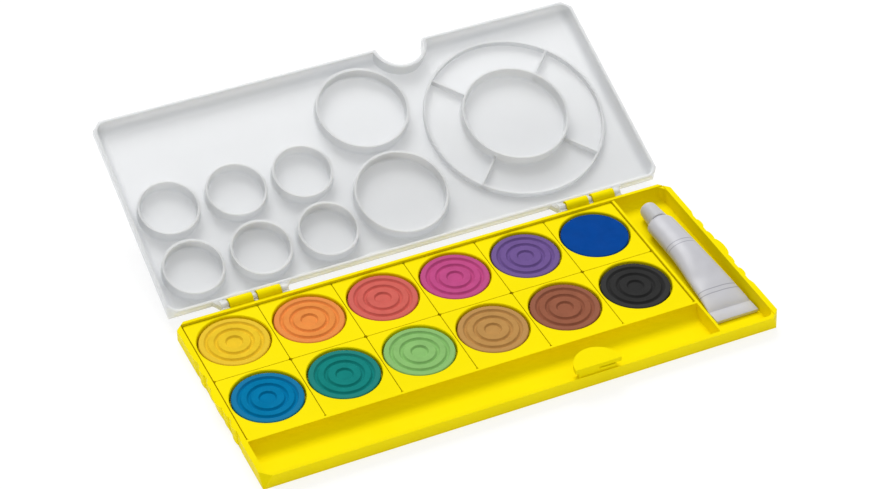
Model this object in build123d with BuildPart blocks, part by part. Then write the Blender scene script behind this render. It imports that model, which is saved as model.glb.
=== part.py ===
from build123d import *
from math import atan2, cos, radians, sin, tan
import os

os.makedirs("parts", exist_ok=True)

# Frame: X along the long side, Y towards the hinge, Z up. The origin is on the plane the tray
# stands on, midway between its short rims and midway between its long rims.

# ---- tray and lid, mm ----
TRAY_HEIGHT = 8.5
LID_HEIGHT = 7.6
SIDE_DRAFT = 0.95  # the short walls lean in by this from the rim to the flat outer face
FRONT_DRAFT = 2.1  # lean of the tray's front wall
BACK_DRAFT = 1.0  # lean of the tray's back wall
HINGE_SIDE_DRAFT = 2.1  # lean of the lid's wall on the hinge side
FREE_DRAFT = 1.4  # lean of the lid's wall on the free side
CORNER_CUT = 4.4  # corner facet at the rim, fading to nothing at the flat outer face
TRAY_FLOOR = 1.3
LID_PLATE = 1.2
CAVITY_TAPER = 2.0  # degrees, on the inside of every compartment
PARTING_GAP = 0.1  # between the two rims when the box is shut

# ---- paint pans ----
COLUMNS = 6
PAN_PITCH_X = 35.0
PAN_PITCH_Y = 39.2
PAN_GAP = 0.35
PAN_HEIGHT = 6.0
PAN_TAPER = 3.8  # degrees, on the skirt
PAN_PLATE = 1.1
PAN_SKIRT = 1.0
PAN_CORNER = 1.2
PAN_MARGIN = 1.0  # plate left between the well and the pan's two long edges
WELL_RADIUS = (PAN_PITCH_X - PAN_GAP) / 2 - PAN_MARGIN
WELL_WALL = 0.8
WELL_FLOOR = 1.1
WELL_OFFSET = 2.0  # the well sits nearer the hinge side of its pan
WELL_CHAMFER = 0.35

# ---- paint tablets ----
TABLET_GAP = 0.35
TABLET_HEIGHT = 4.3
TABLET_EDGE = 0.6
GROOVE_RADII = (12.2, 7.9)
GROOVE_HALF = 0.9
GROOVE_DEPTH = 0.75
DIMPLE_RADIUS = 3.9
DIMPLE_DEPTH = 0.6
COLOURS = (
    ("blue", "teal", "light_green", "ochre", "red_brown", "black"),
    ("warm_yellow", "orange", "coral_red", "magenta", "violet", "ultramarine"),
)
SMOOTH_TABLETS = ("ultramarine",)

# ---- paint tube, lying along the bay on its flattened lower side ----
TUBE_LIFT = 0.3  # between its soft underside and the bay's floor
TUBE_SPACE_LEFT = 3.7  # between the fold and the bay's left wall
TUBE_SPACE_RIGHT = 1.1  # between the fold and the bay's right wall
TUBE_SKEW = 2.0  # the shoulder lies this much further left than the fold
CAP_TO_WALL = 9.7  # between the cap's tip and the bay's back wall
SHOULDER_WIDTH = 14.0
SHOULDER_HEIGHT = 9.4
BODY_SECTIONS = (  # distance from the shoulder, width, height
    (9.6, 14.4, 9.4),
    (24.0, 15.4, 8.8),
    (39.5, 18.0, 6.2),
    (53.0, 20.0, 3.0),
    (59.0, 20.7, 1.6),
)
FOLD_WIDTH = 20.8
FOLD_THICK = 1.6
FOLD_LENGTH = 2.4
CRIMP_THICK = 0.9
CRIMP_LENGTH = 4.4
SHOULDER_RISE = 2.6
SHOULDER_TOP_WIDTH = 9.3  # across the shoulder where the neck begins
SHOULDER_TOP_HEIGHT = 8.8
CAP_SEAT = 0.3  # between the shoulder and the cap
NECK_RADIUS = 3.0
NECK_LENGTH = 7.0
CAP_LENGTH = 11.7
CAP_BASE_RADIUS = 4.9
CAP_TIP_RADIUS = 4.1
CAP_ROUND = 1.6
CAP_BORE_CLEARANCE = 0.08
CAP_END_SPACE = 0.4

# ---- tray compartments ----
WALL_LEFT = 2.5
WALL_RIGHT = 2.6
WALL_FRONT = 2.0
WALL_BACK = 1.6
RIB = 1.2
RIB_DROP = 0.5  # the ribs between the compartments stop this far below the rim
PAN_SPACE_LEFT = 0.7  # between the pans and the left wall
PAN_SPACE_BACK = 0.2  # between the pans and the back wall
CELL_CLEARANCE = 0.4  # between the pans and the two ribs
TROUGH_WIDTH = 21.2
TROUGH_COVE = 4.5
TROUGH_FRONT_COVE = 3.0
BAY_WIDTH = TUBE_SPACE_LEFT + FOLD_WIDTH + TUBE_SPACE_RIGHT
BAY_COVE = 3.5
BAY_CORNER = 4.0  # the bay's two right-hand corners, seen from above
PAN_FIELD_X = COLUMNS * PAN_PITCH_X
PAN_FIELD_Y = len(COLOURS) * PAN_PITCH_Y

# ---- outer size: the box is built round its pans, its trough and its tube ----
BOX_LENGTH = (
    WALL_LEFT + PAN_SPACE_LEFT + PAN_FIELD_X + CELL_CLEARANCE + RIB + BAY_WIDTH + WALL_RIGHT
)
BOX_DEPTH = (
    WALL_FRONT + TROUGH_WIDTH + RIB + CELL_CLEARANCE + PAN_FIELD_Y + PAN_SPACE_BACK + WALL_BACK
)
HALF_L = BOX_LENGTH / 2
HALF_D = BOX_DEPTH / 2

# ---- finger grips on the two short walls of the tray ----
GRIP_HALF = 28.0
GRIP_RUN = 3.0
GRIP_RECESS = 0.8  # at the rim
GRIP_FOOT_RECESS = 0.2  # at the foot of the wall
GRIP_BASE_Z = 0.8
GRIP_RIBS = (  # place along the wall, then half-sizes across and along it at the foot and the rim
    (-19.0, (0.7, 3.2), (1.0, 3.0)),
    (-9.0, (0.4, 3.2), (0.9, 3.4)),
    (0.0, (0.5, 5.4), (2.1, 6.4)),
    (9.0, (0.4, 3.2), (0.9, 3.4)),
    (19.0, (0.7, 3.2), (1.0, 3.0)),
)

# ---- hinge ----
LID_ANGLE = 158.1  # from shut to the open rest pose
HINGE_BEHIND = 2.8  # axis behind the tray's back rim
HINGE_BELOW = 0.1  # axis below the tray's rim plane
HINGE_FROM_END = 38.8  # from each short rim to the middle of its hinge
KNUCKLE_RADIUS = 2.6
KNUCKLE_LENGTH = 11.0
KNUCKLE_SPACE = 2.4
BRACKET_SINK = 1.2  # how far each knuckle's bracket runs into the back wall
PIN_RADIUS = 1.1
PIN_CLEARANCE = 0.06
SIDE_CLEARANCE = 0.3
LUG_RADIUS = 1.7
LUG_THICKNESS = 3.2
LUG_DEPTH = 4.0  # how far below the rim the lugs run on into the lid's wall
LUG_FLARE = 3.0
FLARE_DEPTH = 3.6
STOP_CLEARANCE = 0.03
STOP_WIDTH = 1.6
HINGE_CENTRES = (HINGE_FROM_END - HALF_L, HALF_L - HINGE_FROM_END)

# ---- catch and notch ----
CATCH_X = 31.4
CATCH_RADIUS = 10.9
CATCH_THICKNESS = 2.2
CATCH_TOP = 5.25  # above the tray's rim
NECK_HALF = 9.0
NECK_DEPTH = 2.2
NECK_RECESS = 0.6  # the neck stands back from the plate's straight edge
NECK_ROOT = 1.5
LEDGE_START = 0.5  # from the middle of the catch
LEDGE_LENGTH = 7.6
LEDGE_HEIGHT = 0.8
LEDGE_BELOW = 0.2  # from the plate's underside to the ledge's top
LEDGE_OUT = 0.4  # beyond the plate's straight edge
NOTCH_RADIUS = 12.0
LIP_DEPTH = 0.8
LIP_HEIGHT = 1.2

# ---- lid palette ----
LID_WALL = 1.7
LID_CORNER = 5.0
LID_COVE = 4.0
LID_RIM_ROUND = 0.5
WELL_BELOW_RIM = 0.5
RING_HEIGHT = 3.0
MIX_WALL = 1.2
MIX_EDGE = 0.3  # small bevel along the top of each mixing-well wall
ROOT = 1.2  # concave root of each mixing-well wall
ROOT_SINK = 0.06  # the root's curve runs this far into the floor
SMALL_WELL = 13.5
LARGE_WELL = 21.4
CENTRE_WELL = 24.9
RING = 42.8
SMALL_COLUMNS = 3
SMALL_ROWS = 2
SMALL_FROM_END = 19.0  # from the left rim to the first small well
SMALL_FROM_HINGE = 20.4  # from the hinge-side rim to the first small well
SMALL_PITCH_X = 32.25
SMALL_PITCH_V = 32.0
LARGE_FROM_SMALL = 39.5
LARGE_FROM_EDGE = 28.6  # from each long rim
RING_FROM_END = 51.5  # from the right rim
RIB_ANGLES = (45, 135, 225, 315)
PALETTE_RIB = 1.1

# ---- derived values ----
AXIS_Y = HALF_D + HINGE_BEHIND
AXIS_Z = TRAY_HEIGHT - HINGE_BELOW
CELL_LEFT = -HALF_L + WALL_LEFT
FIELD_LEFT = CELL_LEFT + PAN_SPACE_LEFT
CELL_RIGHT = FIELD_LEFT + PAN_FIELD_X + CELL_CLEARANCE
TROUGH_FRONT = -HALF_D + WALL_FRONT
TROUGH_BACK = TROUGH_FRONT + TROUGH_WIDTH
CELL_FRONT = TROUGH_BACK + RIB
FIELD_FRONT = CELL_FRONT + CELL_CLEARANCE
CELL_BACK = HALF_D - WALL_BACK
BAY_LEFT = CELL_RIGHT + RIB
BAY_RIGHT = HALF_L - WALL_RIGHT
CAVITY_DEPTH = TRAY_HEIGHT - TRAY_FLOOR
PAN_TOP = TRAY_FLOOR + PAN_HEIGHT
BACK_ANGLE = atan2(BACK_DRAFT, TRAY_HEIGHT)
FOLD_X = BAY_RIGHT - TUBE_SPACE_RIGHT - FOLD_WIDTH / 2
SHOULDER_X = FOLD_X - TUBE_SKEW
SHOULDER_Y = CELL_BACK - CAP_TO_WALL - CAP_LENGTH - CAP_SEAT - SHOULDER_RISE


def corner_planes(flat_z, rim_z, mid_y, low_draft, high_draft):
    """The four corner facets: each runs from a cut at the rim to the sharp corner of the flat face."""
    planes = []
    for sx in (-1, 1):
        for sy, draft in ((-1, low_draft), (1, high_draft)):
            foot = Vector(sx * (HALF_L - SIDE_DRAFT), mid_y + sy * (HALF_D - draft), flat_z)
            along_x = Vector(sx * (HALF_L - CORNER_CUT), mid_y + sy * HALF_D, rim_z)
            along_y = Vector(sx * HALF_L, mid_y + sy * (HALF_D - CORNER_CUT), rim_z)
            normal = (along_x - foot).cross(along_y - foot)
            if normal.X * sx < 0:
                normal = normal * -1
            planes.append(Plane(origin=foot, z_dir=normal))
    return planes


# ======================================================================= tray
with BuildPart() as base_tray:
    # Outer form: leaning walls with a tapering facet at each corner.
    with BuildSketch(Plane.XY):
        with Locations((0, (FRONT_DRAFT - BACK_DRAFT) / 2)):
            Rectangle(BOX_LENGTH - 2 * SIDE_DRAFT, BOX_DEPTH - FRONT_DRAFT - BACK_DRAFT)
    with BuildSketch(Plane.XY.offset(TRAY_HEIGHT)):
        Rectangle(BOX_LENGTH, BOX_DEPTH)
    loft(ruled=True)
    for facet in corner_planes(0, TRAY_HEIGHT, 0, FRONT_DRAFT, BACK_DRAFT):
        split(bisect_by=facet, keep=Keep.BOTTOM)

    # Shallow recess and rounded ribs that the fingers hold, on both short walls.
    for side in (-1, 1):
        for z, wall_x, recess in (
            (0, HALF_L - SIDE_DRAFT, GRIP_FOOT_RECESS),
            (TRAY_HEIGHT, HALF_L, GRIP_RECESS),
        ):
            with BuildSketch(Plane.XY.offset(z)):
                with BuildLine():
                    Polyline(
                        (side * (wall_x - recess), -GRIP_HALF + GRIP_RUN),
                        (side * (wall_x - recess), GRIP_HALF - GRIP_RUN),
                        (side * (wall_x + GRIP_RECESS), GRIP_HALF + GRIP_RUN),
                        (side * (wall_x + GRIP_RECESS), -GRIP_HALF - GRIP_RUN),
                        close=True,
                    )
                make_face()
        loft(ruled=True, mode=Mode.SUBTRACT)
        wall_low = HALF_L - SIDE_DRAFT * (1 - GRIP_BASE_Z / TRAY_HEIGHT) - GRIP_FOOT_RECESS
        wall_high = HALF_L - GRIP_RECESS
        for y, foot_size, rim_size in GRIP_RIBS:
            with BuildSketch(Plane.XY.offset(GRIP_BASE_Z)):
                with Locations((side * wall_low, y)):
                    Ellipse(*foot_size)
            with BuildSketch(Plane.XY.offset(TRAY_HEIGHT)):
                with Locations((side * wall_high, y)):
                    Ellipse(*rim_size)
            loft()

    # Compartment for the twelve pans.
    with BuildSketch(Plane.XY.offset(TRAY_HEIGHT)):
        with Locations(((CELL_LEFT + CELL_RIGHT) / 2, (CELL_FRONT + CELL_BACK) / 2)):
            Rectangle(CELL_RIGHT - CELL_LEFT, CELL_BACK - CELL_FRONT)
    extrude(amount=-CAVITY_DEPTH, taper=CAVITY_TAPER, mode=Mode.SUBTRACT)

    # Front trough, coved into its floor at the back and at the front.
    with BuildPart(mode=Mode.PRIVATE) as trough:
        with BuildSketch(Plane.XY.offset(TRAY_HEIGHT)):
            with Locations(((CELL_LEFT + CELL_RIGHT) / 2, (TROUGH_FRONT + TROUGH_BACK) / 2)):
                Rectangle(CELL_RIGHT - CELL_LEFT, TROUGH_WIDTH)
        extrude(amount=-CAVITY_DEPTH, taper=CAVITY_TAPER)
        low_edges = trough.faces().sort_by(Axis.Z)[0].edges().filter_by(Axis.X)
        fillet(low_edges.sort_by(Axis.Y)[-1], radius=TROUGH_COVE)
        low_edges = trough.faces().sort_by(Axis.Z)[0].edges().filter_by(Axis.X)
        fillet(low_edges.sort_by(Axis.Y)[0], radius=TROUGH_FRONT_COVE)
    add(trough.part, mode=Mode.SUBTRACT)

    # Tube bay: rounded at its two right-hand corners, coved at both ends.
    cove_inset = (CAVITY_DEPTH - BAY_COVE) * tan(radians(CAVITY_TAPER))
    with BuildPart(mode=Mode.PRIVATE) as bay:
        with BuildSketch(Plane.XY.offset(TRAY_HEIGHT)):
            with Locations(((BAY_LEFT + BAY_RIGHT) / 2, (TROUGH_FRONT + CELL_BACK) / 2)):
                Rectangle(BAY_WIDTH, CELL_BACK - TROUGH_FRONT)
            fillet(vertices().sort_by(Axis.X)[-2:], radius=BAY_CORNER)
        extrude(amount=-CAVITY_DEPTH, taper=CAVITY_TAPER)
        for wall_y, inward in ((TROUGH_FRONT + cove_inset, 1), (CELL_BACK - cove_inset, -1)):
            with BuildSketch(Plane.YZ.offset(BAY_LEFT)):
                with Locations((wall_y, TRAY_FLOOR)):
                    Rectangle(2 * BAY_COVE, 2 * BAY_COVE)
                with Locations((wall_y + inward * BAY_COVE, TRAY_FLOOR + BAY_COVE)):
                    Circle(BAY_COVE, mode=Mode.SUBTRACT)
            extrude(amount=BAY_WIDTH, mode=Mode.SUBTRACT)
    add(bay.part, mode=Mode.SUBTRACT)

    # The ribs between the compartments stop below the rim.
    with BuildSketch(Plane.XY.offset(TRAY_HEIGHT - RIB_DROP)):
        with Locations(((CELL_LEFT + BAY_RIGHT) / 2, (TROUGH_FRONT + CELL_BACK) / 2)):
            Rectangle(BAY_RIGHT - CELL_LEFT, CELL_BACK - TROUGH_FRONT)
    extrude(amount=RIB_DROP, mode=Mode.SUBTRACT)

    # Catch: a half-round thumb plate on a neck that stands back a little from the front wall.
    neck_top = TRAY_HEIGHT + CATCH_TOP - CATCH_THICKNESS
    with BuildSketch(Plane.XY.offset(TRAY_HEIGHT - NECK_ROOT)):
        with Locations((CATCH_X, -HALF_D + NECK_RECESS)):
            Rectangle(
                2 * NECK_HALF, NECK_DEPTH - NECK_RECESS, align=(Align.CENTER, Align.MIN)
            )
    extrude(amount=CATCH_TOP - CATCH_THICKNESS + NECK_ROOT)
    with BuildSketch(Plane.XY.offset(neck_top)):
        with Locations((CATCH_X, -HALF_D)):
            Circle(CATCH_RADIUS)
            Rectangle(
                3 * CATCH_RADIUS, 2 * CATCH_RADIUS,
                align=(Align.CENTER, Align.MAX), mode=Mode.SUBTRACT,
            )
    extrude(amount=CATCH_THICKNESS)
    # Small flat ledge on the right half of the neck.
    with BuildSketch(Plane.XY.offset(neck_top - LEDGE_BELOW - LEDGE_HEIGHT)):
        with Locations((CATCH_X + LEDGE_START, -HALF_D - LEDGE_OUT)):
            Rectangle(LEDGE_LENGTH, LEDGE_OUT + NECK_DEPTH / 2, align=(Align.MIN, Align.MIN))
    extrude(amount=LEDGE_HEIGHT)

    # Hinge knuckles on brackets along the back wall.
    for centre in HINGE_CENTRES:
        for side in (-1, 1):
            start = centre + side * (KNUCKLE_SPACE + KNUCKLE_LENGTH) / 2 - KNUCKLE_LENGTH / 2
            with BuildSketch(Plane.YZ.offset(start)):
                with Locations((AXIS_Y, AXIS_Z)):
                    Circle(KNUCKLE_RADIUS)
                with BuildLine():
                    Polyline(
                        (HALF_D - BRACKET_SINK, AXIS_Z),
                        (AXIS_Y, AXIS_Z),
                        (AXIS_Y, AXIS_Z - KNUCKLE_RADIUS),
                        (HALF_D - BRACKET_SINK, AXIS_Z - 2 * KNUCKLE_RADIUS),
                        close=True,
                    )
                make_face()
                with Locations((AXIS_Y, AXIS_Z)):
                    Circle(PIN_RADIUS + PIN_CLEARANCE, mode=Mode.SUBTRACT)
            extrude(amount=KNUCKLE_LENGTH)

base_tray.part.label = "base_tray"
export_step(base_tray.part, "parts/base_tray.step")

# ======================================================================== lid
# The lid's own plane: y runs from the hinge axis to the free edge, z points out of the open side.
OPEN = radians(LID_ANGLE)
LID = Plane(origin=(0, AXIS_Y, AXIS_Z), x_dir=(1, 0, 0), z_dir=(0, -sin(OPEN), -cos(OPEN)))
RIM_N = AXIS_Z - TRAY_HEIGHT - PARTING_GAP
BACK_N = RIM_N - LID_HEIGHT
FLOOR_N = BACK_N + LID_PLATE
RIM_U = HINGE_BEHIND
MID_U = RIM_U + HALF_D
WELL_TOP = RIM_N - WELL_BELOW_RIM
RING_TOP = FLOOR_N + RING_HEIGHT
SMALL_X = [SMALL_FROM_END - HALF_L + i * SMALL_PITCH_X for i in range(SMALL_COLUMNS)]
SMALL_V = [SMALL_FROM_HINGE + i * SMALL_PITCH_V for i in range(SMALL_ROWS)]
LARGE_X = SMALL_X[-1] + LARGE_FROM_SMALL
LARGE_V = (LARGE_FROM_EDGE, BOX_DEPTH - LARGE_FROM_EDGE)
RING_X = HALF_L - RING_FROM_END
RING_V = HALF_D

with BuildPart() as lid_local:
    # Outer form, shaped like the tray's.
    with BuildSketch(Plane.XY.offset(BACK_N)):
        with Locations((0, MID_U + (HINGE_SIDE_DRAFT - FREE_DRAFT) / 2)):
            Rectangle(BOX_LENGTH - 2 * SIDE_DRAFT, BOX_DEPTH - HINGE_SIDE_DRAFT - FREE_DRAFT)
    with BuildSketch(Plane.XY.offset(RIM_N)):
        with Locations((0, MID_U)):
            Rectangle(BOX_LENGTH, BOX_DEPTH)
    loft(ruled=True)
    for facet in corner_planes(BACK_N, RIM_N, MID_U, HINGE_SIDE_DRAFT, FREE_DRAFT):
        split(bisect_by=facet, keep=Keep.BOTTOM)

    # One shallow hollow with rounded corners and a deep cove round its floor.
    with BuildPart(mode=Mode.PRIVATE) as hollow:
        with BuildSketch(Plane.XY.offset(RIM_N)):
            with Locations((0, MID_U)):
                RectangleRounded(BOX_LENGTH - 2 * LID_WALL, BOX_DEPTH - 2 * LID_WALL, LID_CORNER)
        extrude(amount=-(RIM_N - FLOOR_N), taper=CAVITY_TAPER)
        fillet(hollow.faces().sort_by(Axis.Z)[0].edges(), radius=LID_COVE)
    add(hollow.part, mode=Mode.SUBTRACT)
    rim_face = lid_local.faces().filter_by(Axis.Z).sort_by(Axis.Z)[-1]
    fillet(rim_face.edges(), radius=LID_RIM_ROUND)

    # Wall that follows the notch for the catch.
    with BuildSketch(Plane.XY.offset(BACK_N)):
        with Locations((CATCH_X, RIM_U + BOX_DEPTH)):
            Circle(NOTCH_RADIUS + LID_WALL)
        with Locations((CATCH_X, RIM_U + BOX_DEPTH - FREE_DRAFT)):
            Rectangle(
                4 * NOTCH_RADIUS, 4 * NOTCH_RADIUS,
                align=(Align.CENTER, Align.MIN), mode=Mode.SUBTRACT,
            )
    extrude(amount=LID_HEIGHT)

    # Mixing wells: a thin round wall with concave roots for each, and one low ring without them.
    walls = [(x, v, SMALL_WELL, WELL_TOP, ROOT) for x in SMALL_X for v in SMALL_V]
    walls += [(LARGE_X, v, LARGE_WELL, WELL_TOP, ROOT) for v in LARGE_V]
    walls += [(RING_X, RING_V, CENTRE_WELL, WELL_TOP, ROOT), (RING_X, RING_V, RING, RING_TOP, 0)]
    for x, v, radius, top, root in walls:
        with BuildSketch(Plane.XZ.offset(-(RIM_U + v))):
            foot = FLOOR_N - LID_PLATE / 2
            with Locations((x + radius, foot)):
                Rectangle(MIX_WALL, top - foot, align=(Align.CENTER, Align.MIN))
            chamfer(vertices().sort_by(Axis.Z)[-2:], length=MIX_EDGE)
            if root:
                root_top = FLOOR_N + root - ROOT_SINK
                with Locations((x + radius, foot)):
                    Rectangle(
                        MIX_WALL + 2 * root, root_top - foot, align=(Align.CENTER, Align.MIN)
                    )
                for side in (-1, 1):
                    with Locations((x + radius + side * (MIX_WALL / 2 + root), root_top)):
                        Circle(root, mode=Mode.SUBTRACT)
        revolve(axis=Axis((x, RIM_U + v, 0), (0, 0, 1)))

    # Four low ribs join the centre well to the ring.
    reach = RING - CENTRE_WELL
    with BuildSketch(Plane.XY.offset(FLOOR_N)):
        with Locations((RING_X, RIM_U + RING_V)):
            for angle in RIB_ANGLES:
                middle = (RING + CENTRE_WELL) / 2
                with Locations(
                    Location((middle * cos(radians(angle)), middle * sin(radians(angle))), angle)
                ):
                    Rectangle(reach, PALETTE_RIB)
    extrude(amount=RING_HEIGHT)

    # The notch itself, with a thin lip left at its inner end.
    with BuildSketch(Plane.XY.offset(BACK_N)):
        with Locations((CATCH_X, RIM_U + BOX_DEPTH)):
            Circle(NOTCH_RADIUS)
        with Locations((CATCH_X, RIM_U + BOX_DEPTH - NOTCH_RADIUS + LIP_DEPTH)):
            Rectangle(
                2 * NOTCH_RADIUS, NOTCH_RADIUS,
                align=(Align.CENTER, Align.MAX), mode=Mode.SUBTRACT,
            )
    extrude(amount=LIP_HEIGHT, mode=Mode.SUBTRACT)
    with BuildSketch(Plane.XY.offset(BACK_N + LIP_HEIGHT)):
        with Locations((CATCH_X, RIM_U + BOX_DEPTH)):
            Circle(NOTCH_RADIUS)
    extrude(amount=LID_HEIGHT, mode=Mode.SUBTRACT)

    # Hinge lugs. Each carries a small nose that meets the tray's back wall at the open rest pose.
    wall_normal = Vector(0, cos(BACK_ANGLE), -sin(BACK_ANGLE))
    open_u = Vector(0, -cos(OPEN), sin(OPEN))
    open_n = Vector(0, -sin(OPEN), -cos(OPEN))
    normal_u = wall_normal.dot(open_u)
    normal_n = wall_normal.dot(open_n)
    to_wall = wall_normal.dot(Vector(0, HINGE_BEHIND, -HINGE_BELOW)) - STOP_CLEARANCE
    foot = (-to_wall * normal_u, -to_wall * normal_n)
    nose = (foot[0] + STOP_WIDTH * normal_n, foot[1] - STOP_WIDTH * normal_u)
    for centre in HINGE_CENTRES:
        half_hinge = KNUCKLE_LENGTH + KNUCKLE_SPACE / 2
        middle = KNUCKLE_SPACE / 2 - SIDE_CLEARANCE
        spans = (
            (centre - half_hinge - SIDE_CLEARANCE - LUG_THICKNESS, LUG_THICKNESS),
            (centre - middle, 2 * middle),
            (centre + half_hinge + SIDE_CLEARANCE, LUG_THICKNESS),
        )
        for start, width in spans:
            with BuildSketch(Plane.YZ.offset(start)):
                Circle(LUG_RADIUS)
                with BuildLine():
                    Polyline((0, 0), foot, nose, (-LUG_RADIUS, 0), close=True)
                make_face()
                with BuildLine():
                    Polyline(
                        (0, -LUG_RADIUS),
                        (0, LUG_RADIUS),
                        (RIM_U, RIM_N),
                        (RIM_U + LID_WALL, RIM_N - LUG_DEPTH),
                        (RIM_U, RIM_N - LUG_DEPTH),
                        close=True,
                    )
                make_face()
            extrude(amount=width)
        # The rim runs down to the outer lugs in slanted flares.
        for side in (-1, 1):
            edge = centre + side * (half_hinge + SIDE_CLEARANCE + LUG_THICKNESS)
            with BuildSketch(Plane.XY.offset(RIM_N - FLARE_DEPTH)):
                with BuildLine():
                    Polyline(
                        (edge - side * LUG_THICKNESS / 2, 0),
                        (edge, 0),
                        (edge + side * LUG_FLARE, RIM_U + LID_WALL / 2),
                        (edge - side * LUG_THICKNESS / 2, RIM_U + LID_WALL / 2),
                        close=True,
                    )
                make_face()
            extrude(amount=FLARE_DEPTH - PARTING_GAP)
        rod = half_hinge + SIDE_CLEARANCE + LUG_THICKNESS / 2
        with BuildSketch(Plane.YZ.offset(centre - rod)):
            Circle(PIN_RADIUS)
        extrude(amount=2 * rod)

with BuildPart() as lid_palette:
    with Locations(LID.location):
        add(lid_local.part)

lid_palette.part.label = "lid_palette"
export_step(lid_palette.part, "parts/lid_palette.step")

# ================================================================ twelve pans
for row, names in enumerate(COLOURS):
    for column, colour in enumerate(names):
        pan_x = FIELD_LEFT + (column + 0.5) * PAN_PITCH_X
        pan_y = FIELD_FRONT + (row + 0.5) * PAN_PITCH_Y
        well_y = pan_y + WELL_OFFSET
        width = PAN_PITCH_X - PAN_GAP
        depth = PAN_PITCH_Y - PAN_GAP

        with BuildPart() as pan:
            # Plate with a leaning skirt.
            with BuildSketch(Plane.XY.offset(PAN_TOP)):
                with Locations((pan_x, pan_y)):
                    RectangleRounded(width, depth, PAN_CORNER)
            extrude(amount=-PAN_HEIGHT, taper=PAN_TAPER)
            # Open underside: only the skirt and the round well reach the tray's floor.
            skirt_in = 2 * (PAN_SKIRT + PAN_HEIGHT * tan(radians(PAN_TAPER)))
            with BuildSketch(Plane.XY.offset(TRAY_FLOOR)):
                with Locations((pan_x, pan_y)):
                    Rectangle(width - skirt_in, depth - skirt_in)
                with Locations((pan_x, well_y)):
                    Circle(WELL_RADIUS + WELL_WALL, mode=Mode.SUBTRACT)
            extrude(amount=PAN_HEIGHT - PAN_PLATE, mode=Mode.SUBTRACT)
            # Well for the tablet.
            with BuildSketch(Plane.XY.offset(TRAY_FLOOR + WELL_FLOOR)):
                with Locations((pan_x, well_y)):
                    Circle(WELL_RADIUS)
            extrude(amount=PAN_HEIGHT, mode=Mode.SUBTRACT)
            rim_edge = pan.edges().filter_by(GeomType.CIRCLE).sort_by(Axis.Z)
            chamfer(
                [e for e in rim_edge if abs(e.radius - WELL_RADIUS) < 0.01][-1], length=WELL_CHAMFER
            )

        pan.part.label = "pan_" + colour
        export_step(pan.part, "parts/pan_" + colour + ".step")

        low = TRAY_FLOOR + WELL_FLOOR
        top = low + TABLET_HEIGHT
        rim = WELL_RADIUS - TABLET_GAP
        with BuildPart() as tablet:
            with BuildSketch(Plane.XZ.offset(-well_y)):
                with Locations((pan_x, low)):
                    Rectangle(rim, TABLET_HEIGHT, align=(Align.MIN, Align.MIN))
                if colour not in SMOOTH_TABLETS:
                    for groove in GROOVE_RADII:
                        with BuildLine():
                            Polyline(
                                (pan_x + groove - GROOVE_HALF, top),
                                (pan_x + groove, top - GROOVE_DEPTH),
                                (pan_x + groove + GROOVE_HALF, top),
                                close=True,
                            )
                        make_face(mode=Mode.SUBTRACT)
                    with BuildLine():
                        Polyline(
                            (pan_x, top),
                            (pan_x + DIMPLE_RADIUS, top),
                            (pan_x + DIMPLE_RADIUS - DIMPLE_DEPTH, top - DIMPLE_DEPTH),
                            (pan_x, top - DIMPLE_DEPTH),
                            close=True,
                        )
                    make_face(mode=Mode.SUBTRACT)
            revolve(axis=Axis((pan_x, well_y, 0), (0, 0, 1)))
            rim_edges = tablet.edges().filter_by(GeomType.CIRCLE).sort_by(Axis.Z)
            chamfer(
                [e for e in rim_edges if abs(e.radius - rim) < 0.01][-1], length=TABLET_EDGE
            )

        tablet.part.label = "tablet_" + colour
        export_step(tablet.part, "parts/tablet_" + colour + ".step")

# ================================================================= paint tube
TUBE_LOW = TRAY_FLOOR + TUBE_LIFT
AXIS_HIGH = TUBE_LOW + SHOULDER_HEIGHT / 2
FOLD_Y = SHOULDER_Y - BODY_SECTIONS[-1][0]
NECK_FOOT = SHOULDER_Y + SHOULDER_RISE


def tube_x(y):
    """The tube lies slightly askew: its fold is nearer the right wall than its shoulder is."""
    return SHOULDER_X + (FOLD_X - SHOULDER_X) * (SHOULDER_Y - y) / (SHOULDER_Y - FOLD_Y)


with BuildPart() as paint_tube:
    # Soft body, round at the shoulder and pressed flat towards the fold.
    for back, section_width, section_height in ((0, SHOULDER_WIDTH, SHOULDER_HEIGHT), *BODY_SECTIONS):
        y = SHOULDER_Y - back
        with BuildSketch(Plane.XZ.offset(-y)):
            with Locations((tube_x(y), TUBE_LOW + section_height / 2)):
                Ellipse(section_width / 2, section_height / 2)
    loft()
    # Folded end: a thick fold, then the thin crimped edge.
    for start, length, thickness in (
        (FOLD_Y, FOLD_LENGTH, FOLD_THICK),
        (FOLD_Y - FOLD_LENGTH, CRIMP_LENGTH, CRIMP_THICK),
    ):
        with BuildSketch(Plane.XZ.offset(-start)):
            with Locations((FOLD_X, TUBE_LOW + FOLD_THICK / 2)):
                Rectangle(FOLD_WIDTH, thickness)
        extrude(amount=length)
    # Shoulder and neck.
    with BuildSketch(Plane.XZ.offset(-SHOULDER_Y)):
        with Locations((SHOULDER_X, AXIS_HIGH)):
            Ellipse(SHOULDER_WIDTH / 2, SHOULDER_HEIGHT / 2)
    with BuildSketch(Plane.XZ.offset(-NECK_FOOT)):
        with Locations((SHOULDER_X, AXIS_HIGH)):
            Ellipse(SHOULDER_TOP_WIDTH / 2, SHOULDER_TOP_HEIGHT / 2)
    loft()
    with BuildSketch(Plane.XZ.offset(-NECK_FOOT)):
        with Locations((SHOULDER_X, AXIS_HIGH)):
            Circle(NECK_RADIUS)
    extrude(amount=-NECK_LENGTH)

paint_tube.part.label = "paint_tube"
export_step(paint_tube.part, "parts/paint_tube.step")

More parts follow.
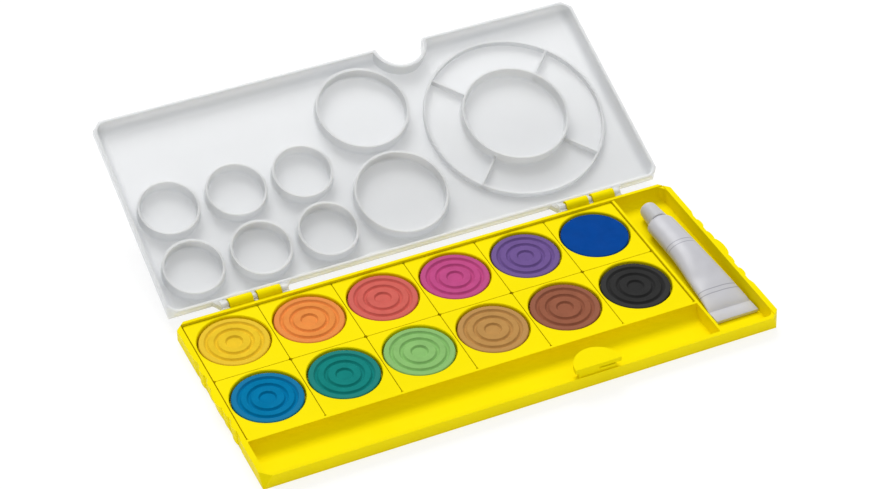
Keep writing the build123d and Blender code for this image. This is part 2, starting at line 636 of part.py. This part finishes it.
with BuildPart() as tube_cap:
    bore = NECK_RADIUS + CAP_BORE_CLEARANCE
    cap_start = NECK_FOOT + CAP_SEAT
    cap_end = cap_start + CAP_LENGTH
    bore_end = NECK_FOOT + NECK_LENGTH + CAP_END_SPACE
    with BuildSketch(Plane.YZ.offset(SHOULDER_X)):
        with BuildLine():
            Polyline(
                (cap_start, AXIS_HIGH + bore),
                (cap_start, AXIS_HIGH + CAP_BASE_RADIUS),
                (cap_end, AXIS_HIGH + CAP_TIP_RADIUS),
                (cap_end, AXIS_HIGH),
                (bore_end, AXIS_HIGH),
                (bore_end, AXIS_HIGH + bore),
                close=True,
            )
        make_face()
    revolve(axis=Axis((SHOULDER_X, 0, AXIS_HIGH), (0, 1, 0)))
    tip = tube_cap.edges().filter_by(GeomType.CIRCLE).sort_by(Axis.Y)[-1]
    fillet(tip, radius=CAP_ROUND)

tube_cap.part.label = "tube_cap"
export_step(tube_cap.part, "parts/tube_cap.step")
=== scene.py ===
"""Looks for a gouache paint set box: moulded plastics, paint cakes, a soft tube and a studio."""

import math

import bmesh
import bpy
from mathutils import Matrix, Vector, noise


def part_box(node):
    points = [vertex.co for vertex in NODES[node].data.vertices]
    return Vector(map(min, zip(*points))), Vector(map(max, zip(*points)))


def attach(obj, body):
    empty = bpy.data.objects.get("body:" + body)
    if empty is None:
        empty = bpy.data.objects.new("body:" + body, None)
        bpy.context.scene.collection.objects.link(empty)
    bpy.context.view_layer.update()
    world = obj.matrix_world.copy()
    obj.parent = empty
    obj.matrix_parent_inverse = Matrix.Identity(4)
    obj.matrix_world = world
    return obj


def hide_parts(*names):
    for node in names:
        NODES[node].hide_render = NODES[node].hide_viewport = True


bl_info = {
    "name": "Gouache Paint Box",
    "version": (1, 0, 0),
    "blender": (4, 5, 0),
    "location": "View3D > Sidebar > Paint Box",
    "description": "Dresses a hinged paint box with moulded plastic, dried gouache and a soft tube",
    "category": "Object",
}

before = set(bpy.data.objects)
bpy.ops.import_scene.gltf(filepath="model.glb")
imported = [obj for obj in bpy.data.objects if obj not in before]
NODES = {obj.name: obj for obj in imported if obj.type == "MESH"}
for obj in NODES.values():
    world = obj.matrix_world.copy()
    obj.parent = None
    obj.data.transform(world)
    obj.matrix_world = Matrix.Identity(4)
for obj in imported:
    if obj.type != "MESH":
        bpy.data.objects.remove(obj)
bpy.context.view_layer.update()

MM = 0.001

CAKE_COLOURS = {
    "warm_yellow": (0.790, 0.526, 0.025),
    "orange": (0.777, 0.264, 0.061),
    "coral_red": (0.604, 0.123, 0.101),
    "magenta": (0.491, 0.072, 0.225),
    "violet": (0.155, 0.090, 0.276),
    "ultramarine": (0.002, 0.055, 0.282),
    "blue": (0.001, 0.172, 0.365),
    "teal": (0.008, 0.209, 0.188),
    "light_green": (0.245, 0.485, 0.155),
    "ochre": (0.475, 0.255, 0.079),
    "red_brown": (0.288, 0.101, 0.057),
    "black": (0.029, 0.029, 0.029),
}
SMOOTH_CAKES = ("ultramarine",)

NOISE_LOW, NOISE_HIGH = 0.3, 0.7  # nearly all values of a noise node lie between these
ON_AXIS = 1e-7  # a smaller radius is a point on the axis
SENSOR_WIDTH = 36.0


# ------------------------------------------------------------------ settings
def colour(name, description, default):
    """A colour property, in linear light."""
    return bpy.props.FloatVectorProperty(
        name=name, description=description, default=default, subtype="COLOR", size=3, min=0.0, max=1.0
    )


def length(name, description, default):
    """A length property, in metres."""
    return bpy.props.FloatProperty(
        name=name, description=description, default=default, min=0.0, subtype="DISTANCE", unit="LENGTH"
    )


def degrees(name, description, default):
    """An angle property, with its default given in degrees."""
    return bpy.props.FloatProperty(
        name=name, description=description, default=math.radians(default),
        subtype="ANGLE", unit="ROTATION",
    )


class PlasticSettings(bpy.types.PropertyGroup):
    """Colours and grain of the tray, the pans and the lid"""

    tray: colour("Tray", "Colour of the moulded tray and its pans", (0.920, 0.765, 0.0006))
    palette: colour("Palette", "Colour of the lid, which is the mixing palette", (0.655, 0.667, 0.679))
    grain: length("Grain", "Size of the fine grain that the mould leaves", 0.0006)


class CakeSettings(bpy.types.PropertyGroup):
    """Sizes of the paint cakes and of the marks pressed into them"""

    groove_depth: length("Groove depth", "How deep the rings are pressed into a cake", 0.00090)
    groove_half: length("Groove half width", "From the middle of a ring groove to its edge", 0.0010)
    shrinkage: length("Shrinkage", "How far the dried cake has drawn back from its well", 0.00045)
    dimple_radius: length("Dimple radius", "Radius of the round press mark in the middle", 0.0040)
    edge_radius: length("Edge radius", "Rounding of the cake's upper edge", 0.0007)


class TubeSettings(bpy.types.PropertyGroup):
    """Colours of the tube and its cap, and how far the foil is dented"""

    foil: colour("Foil", "Colour of the tube's coated foil", (0.520, 0.520, 0.556))
    print: colour("Print", "Colour of the thin printed bands", (0.300, 0.300, 0.340))
    cap: colour("Cap", "Colour of the tube's cap", (0.520, 0.522, 0.535))
    crease: length("Crease", "How far the foil is dented near its fold", 0.00035)


class StudioSettings(bpy.types.PropertyGroup):
    """Place of the camera, and colour of the floor"""

    lens: bpy.props.FloatProperty(
        name="Lens", description="Focal length on a 36 mm wide sensor",
        default=102.115, min=1.0, unit="CAMERA",
    )
    azimuth: degrees("Azimuth", "Turn of the camera round the box", -24.525)
    elevation: degrees("Elevation", "Height of the camera as an angle", 38.926)
    roll: degrees("Roll", "Tilt of the camera about its own axis", -0.126)
    distance: length("Distance", "From the camera to the point it looks at", 1.11286)
    floor: colour("Floor", "Colour of the table under the box", (0.86, 0.86, 0.86))


SETTINGS = {
    "paintbox_plastic": PlasticSettings,
    "paintbox_cakes": CakeSettings,
    "paintbox_tube": TubeSettings,
    "paintbox_studio": StudioSettings,
}


# ------------------------------------------------------------ node materials
class Finish:
    """A new material and short ways to add and join its nodes."""

    def __init__(self, name):
        self.material = bpy.data.materials.new(name)
        self.material.use_nodes = True
        self.tree = self.material.node_tree
        self.shader = self.tree.nodes["Principled BSDF"]
        self.coords = self.add("ShaderNodeTexCoord").outputs["Object"]

    def add(self, kind, **values):
        """A node, with its sockets or settings set by name."""
        node = self.tree.nodes.new(kind)
        for key, value in values.items():
            socket = node.inputs.get(key.replace("_", " "))
            if socket is None:
                setattr(node, key, value)
            else:
                socket.default_value = value
        return node

    def join(self, source, target):
        """Links an output to an input."""
        self.tree.links.new(source, target)

    def surface(self, **values):
        """Sets the shader's own sockets."""
        for key, value in values.items():
            self.shader.inputs[key.replace("_", " ")].default_value = value

    def noise(self, size, detail=3.0, roughness=0.5):
        """Noise whose features are about size metres across."""
        node = self.add("ShaderNodeTexNoise", Scale=1.0 / size, Detail=detail, Roughness=roughness)
        self.join(self.coords, node.inputs["Vector"])
        return node.outputs["Fac"]

    def spread(self, source, low, high, out_low, out_high):
        """Maps a value from one range to another."""
        node = self.add("ShaderNodeMapRange")
        node.inputs["From Min"].default_value = low
        node.inputs["From Max"].default_value = high
        node.inputs["To Min"].default_value = out_low
        node.inputs["To Max"].default_value = out_high
        self.join(source, node.inputs["Value"])
        return node.outputs["Result"]

    def shades(self, source, *stops):
        """A colour ramp: each stop is (place, colour)."""
        node = self.add("ShaderNodeValToRGB")
        ramp = node.color_ramp
        while len(ramp.elements) < len(stops):
            ramp.elements.new(0.5)
        for element, (place, shade) in zip(ramp.elements, stops):
            element.position = place
            element.color = (*shade, 1.0)
        self.join(source, node.inputs["Fac"])
        return node.outputs["Color"]

    def blend(self, share, source, second):
        """Mixes a colour output with a fixed second colour."""
        node = self.add("ShaderNodeMix", data_type="RGBA")
        self.join(share, node.inputs["Factor"])
        first_in, second_in = [socket for socket in node.inputs if socket.type == "RGBA"]
        self.join(source, first_in)
        second_in.default_value = (*second, 1.0)
        return [socket for socket in node.outputs if socket.type == "RGBA"][0]

    def bumps(self, *layers):
        """Stacks bump layers, each (height, distance in metres, strength), on the shader's normal."""
        before = None
        for height, distance, strength in layers:
            node = self.add("ShaderNodeBump", Strength=strength, Distance=distance)
            self.join(height, node.inputs["Height"])
            if before:
                self.join(before, node.inputs["Normal"])
            before = node.outputs["Normal"]
        self.join(before, self.shader.inputs["Normal"])


def tint(base, amount):
    """A colour made lighter or darker by a share."""
    return tuple(min(1.0, max(0.0, c * (1.0 + amount))) for c in base)


def moulded_plastic(name, base, grain, roughness, cloud, shine, glow=0.0):
    """Injection-moulded plastic: faint clouding, fine grain from the mould, slightly uneven gloss.

    Cloud is the share by which the colour varies, shine the strength of the gloss, and glow the
    share of light that spreads a few millimetres inside a milky plastic.
    """
    finish = Finish(name)
    clouds = finish.noise(size=0.045, detail=4.0)
    finish.join(
        finish.shades(
            clouds, (NOISE_LOW, tint(base, -cloud)), (NOISE_HIGH, tint(base, cloud * 0.5))
        ),
        finish.shader.inputs["Base Color"],
    )
    gloss = finish.noise(size=0.012, detail=5.0)
    finish.join(
        finish.spread(gloss, NOISE_LOW, NOISE_HIGH, roughness - 0.05, roughness + 0.06),
        finish.shader.inputs["Roughness"],
    )
    finish.surface(IOR=1.49, Specular_IOR_Level=shine, Specular_Tint=(*base, 1.0))
    finish.surface(
        Subsurface_Weight=glow, Subsurface_Scale=6.0 * MM, Subsurface_Radius=(1.0, 1.0, 1.0)
    )
    fine = finish.noise(size=grain, detail=2.0)
    waves = finish.noise(size=0.018, detail=1.0)
    finish.bumps((waves, 0.00025, 0.25), (fine, 0.00002, 0.5))
    return finish.material


def dried_gouache(name, base):
    """A pressed cake of gouache: chalky and matt, with faint mottling, fine pores and a dusty rim.

    The mesh's dust attribute says where the dust lies.
    """
    finish = Finish(name)
    mottle = finish.noise(size=0.006, detail=6.0, roughness=0.6)
    paint = finish.shades(mottle, (0.25, tint(base, -0.10)), (0.5, base), (0.78, tint(base, 0.10)))
    dust = finish.add("ShaderNodeAttribute", attribute_name="dust").outputs["Fac"]
    chalky = tuple(c * 0.97 + 0.010 for c in base)
    finish.join(finish.blend(dust, paint, chalky), finish.shader.inputs["Base Color"])
    patches = finish.noise(size=0.009, detail=2.0)
    smoothest, roughest = 0.62, 0.82
    finish.join(
        finish.spread(patches, NOISE_LOW, NOISE_HIGH, smoothest, roughest),
        finish.shader.inputs["Roughness"],
    )
    finish.surface(Specular_IOR_Level=0.06, Specular_Tint=(*base, 1.0))
    pores = finish.noise(size=0.0007, detail=4.0, roughness=0.7)
    swirl = finish.noise(size=0.005, detail=2.0)
    finish.bumps((swirl, 0.00022, 0.35), (pores, 0.00005, 0.45))
    return finish.material


def coated_foil(name, base, print_colour, bands):
    """Coated foil: pale satin, softly dented, with thin printed bands across it.

    Each band is (place along the tube, half width).
    """
    finish = Finish(name)
    clouds = finish.noise(size=0.02, detail=3.0)
    coating = finish.shades(
        clouds, (NOISE_LOW, tint(base, -0.04)), (NOISE_HIGH, tint(base, 0.03))
    )
    split = finish.add("ShaderNodeSeparateXYZ")
    finish.join(finish.coords, split.inputs["Vector"])
    along = split.outputs["Y"]
    blur = 0.3  # share of a band's half width over which its edge fades
    ink = None
    for place, half in bands:
        apart = finish.add("ShaderNodeMath", operation="SUBTRACT")
        finish.join(along, apart.inputs[0])
        apart.inputs[1].default_value = place
        size = finish.add("ShaderNodeMath", operation="ABSOLUTE")
        finish.join(apart.outputs[0], size.inputs[0])
        edge = finish.spread(size.outputs[0], half * (1.0 - blur), half * (1.0 + blur), 1.0, 0.0)
        if ink is None:
            ink = edge
        else:
            both = finish.add("ShaderNodeMath", operation="MAXIMUM")
            finish.join(ink, both.inputs[0])
            finish.join(edge, both.inputs[1])
            ink = both.outputs[0]
    finish.join(finish.blend(ink, coating, print_colour), finish.shader.inputs["Base Color"])
    gloss = finish.noise(size=0.008, detail=3.0)
    smoothest, roughest = 0.34, 0.46
    finish.join(
        finish.spread(gloss, NOISE_LOW, NOISE_HIGH, smoothest, roughest),
        finish.shader.inputs["Roughness"],
    )
    finish.surface(Specular_IOR_Level=0.45)
    dents = finish.noise(size=0.009, detail=3.0)
    grain = finish.noise(size=0.0012, detail=2.0)
    finish.bumps((dents, 0.0005, 0.25), (grain, 0.00002, 0.3))
    return finish.material


# -------------------------------------------------------------- mesh helpers
def new_piece(name, points, faces, material, body, smooth_angle):
    """A mesh object that rides on a body, shaded smooth where faces meet below an angle in degrees."""
    mesh = bpy.data.meshes.new(name)
    mesh.from_pydata(points, [], faces)
    mesh.validate()
    shaped = bmesh.new()
    shaped.from_mesh(mesh)
    bmesh.ops.recalc_face_normals(shaped, faces=shaped.faces)
    shaped.to_mesh(mesh)
    shaped.free()
    mesh.shade_smooth()
    mesh.set_sharp_from_angle(angle=math.radians(smooth_angle))
    mesh.materials.append(material)
    piece = bpy.data.objects.new(name, mesh)
    bpy.context.scene.collection.objects.link(piece)
    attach(piece, body)
    return piece


def lathe(outline, centre, turns, axis="Z"):
    """Points and faces of a closed form turned about an axis.

    The outline runs from axis to axis as (radius, height).
    """
    points, faces = [], []
    x, y, z = centre

    def place(radius, height, angle):
        a, b = radius * math.cos(angle), radius * math.sin(angle)
        if axis == "Z":
            return (x + a, y + b, z + height)
        return (x + a, y + height, z + b)

    rings = []
    for radius, height in outline:
        if radius < ON_AXIS:
            rings.append([len(points)])
            points.append(place(0.0, height, 0.0))
        else:
            rings.append(list(range(len(points), len(points) + turns)))
            points += [place(radius, height, math.tau * k / turns) for k in range(turns)]
    for low, high in zip(rings, rings[1:]):
        for k in range(turns):
            after = (k + 1) % turns
            if len(low) == 1:
                faces.append((low[0], high[k], high[after]))
            elif len(high) == 1:
                faces.append((low[k], high[0], low[after]))
            else:
                faces.append((low[k], high[k], high[after], low[after]))
    return points, faces


def arc(cx, cy, radius, start, end, steps):
    """Points along an arc about (cx, cy), with the angles in degrees."""
    return [
        (
            cx + radius * math.cos(math.radians(start + (end - start) * k / steps)),
            cy + radius * math.sin(math.radians(start + (end - start) * k / steps)),
        )
        for k in range(steps + 1)
    ]


# ------------------------------------------------------------------ operators
class PAINTBOX_OT_tray(bpy.types.Operator):
    """Gives the tray and its pans their moulded yellow plastic"""

    bl_idname = "paintbox.tray"
    bl_label = "Tray and Pans"

    def execute(self, context):
        looks = context.scene.paintbox_plastic
        yellow = tuple(looks.tray)
        tray = moulded_plastic(
            "tray_plastic", yellow, looks.grain, roughness=0.46, cloud=0.03, shine=0.03
        )
        pans = moulded_plastic(
            "pan_plastic", yellow, looks.grain, roughness=0.44, cloud=0.03, shine=0.03
        )
        for name, node in NODES.items():
            if name == "base_tray":
                dress(node, tray)
            elif name.startswith("pan_"):
                dress(node, pans)
        return {"FINISHED"}


class PAINTBOX_OT_palette(bpy.types.Operator):
    """Gives the lid its white palette plastic"""

    bl_idname = "paintbox.palette"
    bl_label = "Palette Lid"

    def execute(self, context):
        looks = context.scene.paintbox_plastic
        milky = moulded_plastic(
            "palette_plastic", tuple(looks.palette), looks.grain,
            roughness=0.38, cloud=0.02, shine=0.30, glow=0.85,
        )
        dress(NODES["lid_palette"], milky)
        return {"FINISHED"}


class PAINTBOX_OT_cakes(bpy.types.Operator):
    """Makes the round cakes of dried gouache, with rings pressed into them"""

    bl_idname = "paintbox.cakes"
    bl_label = "Paint Cakes"

    def execute(self, context):
        sizes = context.scene.paintbox_cakes
        dust_from, dust_fade = 0.80, 0.06  # shares of the radius
        for name, base in CAKE_COLOURS.items():
            low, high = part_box("tablet_" + name)
            centre = ((low.x + high.x) / 2, (low.y + high.y) / 2, low.z)
            radius = (high.x - low.x) / 2 - sizes.shrinkage
            outline = cake_outline(radius, high.z - low.z, sizes, name in SMOOTH_CAKES)
            points, faces = lathe(outline, centre, turns=96)
            cake = new_piece(
                "cake_" + name, points, faces, dried_gouache("gouache_" + name, base),
                "pan_with_" + name, smooth_angle=60.0,
            )
            dust = cake.data.attributes.new("dust", "FLOAT", "POINT")
            for index, vertex in enumerate(cake.data.vertices):
                out = math.hypot(vertex.co.x - centre[0], vertex.co.y - centre[1]) / radius
                share = 0.0 if name in SMOOTH_CAKES else (out - dust_from) / dust_fade
                dust.data[index].value = min(1.0, max(0.0, share))
            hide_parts("tablet_" + name)
        return {"FINISHED"}


class PAINTBOX_OT_tube(bpy.types.Operator):
    """Makes the soft tube: a round shoulder that flattens to a folded end"""

    bl_idname = "paintbox.tube"
    bl_label = "Soft Tube"

    def execute(self, context):
        looks = context.scene.paintbox_tube
        low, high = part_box("paint_tube")
        band_places = (26.2, 28.4, 57.4, 59.8)  # from the end of the neck, mm
        band_half = 0.22 * MM
        bands = [(high.y - place * MM, band_half) for place in band_places]
        foil = coated_foil("tube_foil", tuple(looks.foil), tuple(looks.print), bands)
        cap_low, cap_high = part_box("tube_cap")
        points, faces = tube_skin(low, high, (cap_low.x + cap_high.x) / 2, looks.crease)
        tube = new_piece("soft_tube", points, faces, foil, "tube", smooth_angle=40.0)
        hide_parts("paint_tube")
        return {"FINISHED"}


class PAINTBOX_OT_cap(bpy.types.Operator):
    """Makes the tube's smooth tapered cap"""

    bl_idname = "paintbox.cap"
    bl_label = "Tube Cap"

    def execute(self, context):
        looks = context.scene.paintbox_tube
        low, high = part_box("tube_cap")
        centre = ((low.x + high.x) / 2, low.y, (low.z + high.z) / 2)
        base = (high.x - low.x) / 2
        reach = high.y - low.y
        taper = 0.8 * MM
        bore = 3.1 * MM
        bore_depth = 6.4 * MM
        rim = 0.35 * MM  # rounding of the open end
        crown = 1.9 * MM  # rounding of the closed end
        side_slope = 4  # degrees at which the tapered side runs into the crown
        tip = base - taper
        outline = [(0.0, bore_depth), (bore, bore_depth), (bore, 0.0), (base - rim, 0.0)]
        outline += arc(base - rim, rim, rim, -90, 0, 4)[1:]
        outline += arc(tip - crown, reach - crown, crown, side_slope, 90, 10)
        outline += [(0.0, reach)]
        points, faces = lathe(outline, centre, turns=72, axis="Y")
        material = moulded_plastic(
            "cap_plastic", tuple(looks.cap), grain=0.5 * MM,
            roughness=0.42, cloud=0.015, shine=0.30, glow=0.4,
        )
        cap = new_piece("screw_cap", points, faces, material, "cap", smooth_angle=40.0)
        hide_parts("tube_cap")
        return {"FINISHED"}


class PAINTBOX_OT_stage(bpy.types.Operator):
    """Sets the floor, the surround, the lamp and the camera"""

    bl_idname = "paintbox.stage"
    bl_label = "Studio"

    def execute(self, context):
        studio = context.scene.paintbox_studio
        make_floor(tuple(studio.floor))
        make_world()
        lamp(
            "back_softbox", place=(0.18, 1.75, 2.45), target=(0.0, 0.05, 0.0), size=1.6, power=55.0
        )
        make_camera(studio)
        context.scene.view_settings.view_transform = "Standard"
        return {"FINISHED"}


class PAINTBOX_PT_sidebar(bpy.types.Panel):
    """Lists the pieces of the paint box and their settings"""

    bl_idname = "PAINTBOX_PT_sidebar"
    bl_label = "Paint Box"
    bl_space_type = "VIEW_3D"
    bl_region_type = "UI"
    bl_category = "Paint Box"

    def draw(self, context):
        for name, group in SETTINGS.items():
            settings = getattr(context.scene, name)
            for key in group.__annotations__:
                self.layout.prop(settings, key)
        for operator in OPERATORS:
            self.layout.operator(operator.bl_idname)


OPERATORS = (
    PAINTBOX_OT_tray,
    PAINTBOX_OT_palette,
    PAINTBOX_OT_cakes,
    PAINTBOX_OT_tube,
    PAINTBOX_OT_cap,
    PAINTBOX_OT_stage,
)


# -------------------------------------------------------------- piece shapes
def dress(node, material):
    """Puts one material on a node of the frame."""
    node.data.materials.clear()
    node.data.materials.append(material)


def cake_outline(radius, height, sizes, smooth):
    """Half section of a cake, from the middle of its underside round to the middle of its top."""
    edge = sizes.edge_radius
    outline = [(0.0, 0.0), (radius, 0.0)]
    outline += arc(radius - edge, height - edge, edge, 0, 90, 6)
    grooves = () if smooth else (12.2 * MM, 7.9 * MM)  # radii of the pressed rings
    hollow = 1.5  # power that rounds a groove's section
    dimple_wall = 0.7 * MM
    steps = 150
    start = radius - edge
    for k in range(1, steps):
        r = start * (1.0 - k / steps)
        drop = 0.0
        for groove in grooves:
            away = abs(r - groove) / sizes.groove_half
            if away < 1.0:
                drop = max(drop, sizes.groove_depth * (1.0 - away ** hollow))
        if not smooth:
            inside = (sizes.dimple_radius - r) / dimple_wall
            drop = max(drop, sizes.groove_depth * min(1.0, max(0.0, inside)))
        outline.append((r, height - drop))
    outline.append((0.0, height if smooth else height - sizes.groove_depth))
    return outline


def tube_skin(low, high, shoulder_x, crease):
    """The tube's skin: oval rings from the neck to the fold, then the folded strip."""
    turns = 72
    rise = 2.6 * MM  # height of the rounded shoulder
    neck_length = 7.0 * MM
    strip_length = 4.4 * MM
    pinch_length = 2.4 * MM  # where the body closes on the strip
    waves_across, waves_along = 160.0, 120.0  # dents per metre
    upper_side, lower_side = 0.3, 4.7  # layers of the noise, so that the two sides differ
    shoulder_y = high.y - neck_length - rise
    strip_y = low.y + strip_length
    fold_y = strip_y + pinch_length
    fold_x = (low.x + high.x) / 2
    fold_half = (high.x - low.x) / 2
    bottom = low.z
    profile = (  # distance from the shoulder, width, height, mm
        (0.0, 13.9, 9.35),
        (1.2, 14.0, 9.4),
        (9.6, 14.4, 9.4),
        (24.0, 15.4, 8.8),
        (39.5, 18.0, 6.2),
        (53.0, 20.0, 3.4),
        (57.0, 20.6, 2.2),
        (59.0, 20.7, 1.0),
    )
    points, faces, rings = [], [], []

    def ring(y, x, z, half_width, half_height, power, dent=0.0):
        start = len(points)
        for k in range(turns):
            angle = math.tau * k / turns
            c, s = math.cos(angle), math.sin(angle)
            px = x + half_width * math.copysign(abs(c) ** power, c)
            pz = z + half_height * math.copysign(abs(s) ** power, s)
            if dent:
                layer = upper_side if s > 0 else lower_side
                wave = noise.noise(Vector((px * waves_across, y * waves_along, layer)))
                pz += dent * wave * abs(s)
            points.append((px, y, max(pz, bottom)))
        rings.append(list(range(start, start + turns)))

    middle = (bottom + high.z) / 2
    neck = 3.0 * MM
    for y in (high.y, shoulder_y + rise):
        ring(y, shoulder_x, middle, neck, neck, 1.0)
    top_width, top_height = 4.85, 4.4  # half sizes of the shoulder's ends, mm
    foot_width, foot_height = 6.95, 4.67
    shoulder_steps = 8
    shoulder_power = 0.9  # how quickly the shoulder widens
    for k in range(shoulder_steps + 1):
        share = k / shoulder_steps
        grow = math.sin(share * math.pi / 2) ** shoulder_power
        fall = 1.0 - math.cos(share * math.pi / 2)
        half_width = (top_width + (foot_width - top_width) * grow) * MM
        half_height = (top_height + (foot_height - top_height) * grow) * MM
        ring(
            shoulder_y + rise * (1.0 - fall), shoulder_x, middle, half_width, half_height, 1.0
        )
    flat_from = 0.45  # share of the body at which it starts to flatten
    least_dent = 0.12  # share of the dents that is there all along
    flat_power = 0.25  # how far the flat end's rings are from an oval
    steps = 90
    span = shoulder_y - fold_y
    for k in range(1, steps + 1):
        back = span * k / steps
        width, height = read_profile(profile, back / MM)
        share = back / span
        x = shoulder_x + (fold_x - shoulder_x) * share
        flat = max(0.0, (share - flat_from) / (1.0 - flat_from))
        dent = crease * flat * (1.0 - flat) * 4.0 + least_dent * crease
        ring(
            shoulder_y - back, x, bottom + height * MM / 2,
            width * MM / 2, height * MM / 2, 1.0 - flat_power * flat, dent,
        )
    strip_middle = bottom + 0.8 * MM
    strip_power = 0.16  # nearly square corners
    for y, half_thickness in (  # place along the tube, half thickness in mm
        (fold_y - 0.05 * MM, 0.50),
        (strip_y + 0.35 * MM, 0.50),
        (strip_y + 0.05 * MM, 0.80),
        (low.y + 0.2 * MM, 0.80),
        (low.y, 0.65),
    ):
        ring(y, fold_x, strip_middle, fold_half, half_thickness * MM, strip_power)
    for first, second in zip(rings, rings[1:]):
        for k in range(turns):
            after = (k + 1) % turns
            faces.append((first[k], second[k], second[after], first[after]))
    faces.append(tuple(rings[0]))
    faces.append(tuple(reversed(rings[-1])))
    return points, faces


def read_profile(profile, place):
    """Width and height at a place along the tube, eased through the given sections."""
    count = len(profile)
    for i in range(count - 1):
        a, b = profile[i], profile[i + 1]
        if place <= b[0] or i == count - 2:
            before = profile[max(i - 1, 0)]
            after = profile[min(i + 2, count - 1)]
            gap = b[0] - a[0]
            t = min(1.0, (place - a[0]) / gap)
            read = []
            for j in (1, 2):
                slope_a = (b[j] - before[j]) / (b[0] - before[0]) * gap
                slope_b = (after[j] - a[j]) / (after[0] - a[0]) * gap
                value = (2 * t ** 3 - 3 * t ** 2 + 1) * a[j] + (t ** 3 - 2 * t ** 2 + t) * slope_a
                value += (3 * t ** 2 - 2 * t ** 3) * b[j] + (t ** 3 - t ** 2) * slope_b
                read.append(value)
            return tuple(read)


# --------------------------------------------------------------------- studio
def make_floor(base):
    """A wide pale floor that is white to the camera wherever no shadow falls."""
    mesh = bpy.data.meshes.new("floor")
    reach = 6.0
    seen_shade = (0.24, 0.24, 0.24)  # lamp and glow bring it up to white
    unseen_glow, seen_glow = 0.34, 0.80
    corners = [(-reach, -reach, 0.0), (reach, -reach, 0.0), (reach, reach, 0.0), (-reach, reach, 0.0)]
    mesh.from_pydata(corners, [], [(0, 1, 2, 3)])
    floor = bpy.data.objects.new("floor", mesh)
    bpy.context.scene.collection.objects.link(floor)
    finish = Finish("floor_paper")
    speckle = finish.noise(size=0.002, detail=2.0)
    paper = finish.shades(
        speckle, (NOISE_LOW, tint(base, -0.01)), (NOISE_HIGH, tint(base, 0.01))
    )
    seen = finish.add("ShaderNodeLightPath").outputs["Is Camera Ray"]
    finish.join(finish.blend(seen, paper, seen_shade), finish.shader.inputs["Base Color"])
    finish.surface(Roughness=0.9, Specular_IOR_Level=0.1, Emission_Color=(1.0, 1.0, 1.0, 1.0))
    finish.join(
        finish.spread(seen, 0.0, 1.0, unseen_glow, seen_glow),
        finish.shader.inputs["Emission Strength"],
    )
    mesh.materials.append(finish.material)


def make_world():
    """White to the camera and in reflections, and as light brighter from above than from the sides."""
    level_light, top_light = 0.12, 0.87
    world = bpy.data.worlds.new("studio_world")
    bpy.context.scene.world = world
    world.use_nodes = True
    tree = world.node_tree
    background = tree.nodes["Background"]
    path = tree.nodes.new("ShaderNodeLightPath")
    seen = path.outputs["Is Camera Ray"]
    for way in ("Is Glossy Ray", "Is Transmission Ray"):
        either = tree.nodes.new("ShaderNodeMath")
        either.operation = "MAXIMUM"
        tree.links.new(seen, either.inputs[0])
        tree.links.new(path.outputs[way], either.inputs[1])
        seen = either.outputs[0]
    place = tree.nodes.new("ShaderNodeTexCoord")
    split = tree.nodes.new("ShaderNodeSeparateXYZ")
    tree.links.new(place.outputs["Generated"], split.inputs["Vector"])
    height = tree.nodes.new("ShaderNodeMapRange")
    height.inputs["To Min"].default_value = level_light
    height.inputs["To Max"].default_value = top_light
    tree.links.new(split.outputs["Z"], height.inputs["Value"])
    strength = tree.nodes.new("ShaderNodeMapRange")
    strength.inputs["To Max"].default_value = 1.0
    tree.links.new(height.outputs["Result"], strength.inputs["To Min"])
    tree.links.new(seen, strength.inputs["Value"])
    tree.links.new(strength.outputs["Result"], background.inputs["Strength"])
    background.inputs["Color"].default_value = (1.0, 1.0, 1.0, 1.0)


def lamp(name, place, target, size, power):
    """A square soft lamp aimed at a point."""
    data = bpy.data.lights.new(name, "AREA")
    data.shape = "SQUARE"
    data.size = size
    data.energy = power
    light = bpy.data.objects.new(name, data)
    light.location = place
    light.rotation_mode = "QUATERNION"
    light.rotation_quaternion = (Vector(target) - Vector(place)).to_track_quat("-Z", "Y")
    bpy.context.scene.collection.objects.link(light)


def make_camera(studio):
    """A long lens, turned and raised by the studio's angles."""
    target = Vector((4.55, 55.22, 8.5)) * MM
    back = Vector(
        (
            math.sin(studio.azimuth) * math.cos(studio.elevation),
            -math.cos(studio.azimuth) * math.cos(studio.elevation),
            math.sin(studio.elevation),
        )
    )
    data = bpy.data.cameras.new("camera")
    data.lens = studio.lens
    data.sensor_width = SENSOR_WIDTH
    data.clip_start = 0.05
    data.clip_end = 20.0
    camera = bpy.data.objects.new("camera", data)
    camera.location = target + back * studio.distance
    camera.rotation_mode = "QUATERNION"
    upright = (-back).to_track_quat("-Z", "Y")
    rolled = Matrix.Rotation(studio.roll, 4, "Z").to_quaternion()
    camera.rotation_quaternion = upright @ rolled
    bpy.context.scene.collection.objects.link(camera)
    bpy.context.scene.camera = camera


# ------------------------------------------------------------------- register
def register():
    """Adds the settings, the operators and the panel."""
    for group in SETTINGS.values():
        bpy.utils.register_class(group)
    for operator in OPERATORS:
        bpy.utils.register_class(operator)
    bpy.utils.register_class(PAINTBOX_PT_sidebar)
    for name, group in SETTINGS.items():
        setattr(bpy.types.Scene, name, bpy.props.PointerProperty(type=group))


def unregister():
    """Takes away what register adds."""
    for name in SETTINGS:
        delattr(bpy.types.Scene, name)
    bpy.utils.unregister_class(PAINTBOX_PT_sidebar)
    for operator in reversed(OPERATORS):
        bpy.utils.unregister_class(operator)
    for group in reversed(list(SETTINGS.values())):
        bpy.utils.unregister_class(group)


def main():
    """Registers the add-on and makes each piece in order."""
    register()
    bpy.ops.paintbox.tray()
    bpy.ops.paintbox.palette()
    bpy.ops.paintbox.cakes()
    bpy.ops.paintbox.tube()
    bpy.ops.paintbox.cap()
    bpy.ops.paintbox.stage()


if __name__ == "__main__":
    main()
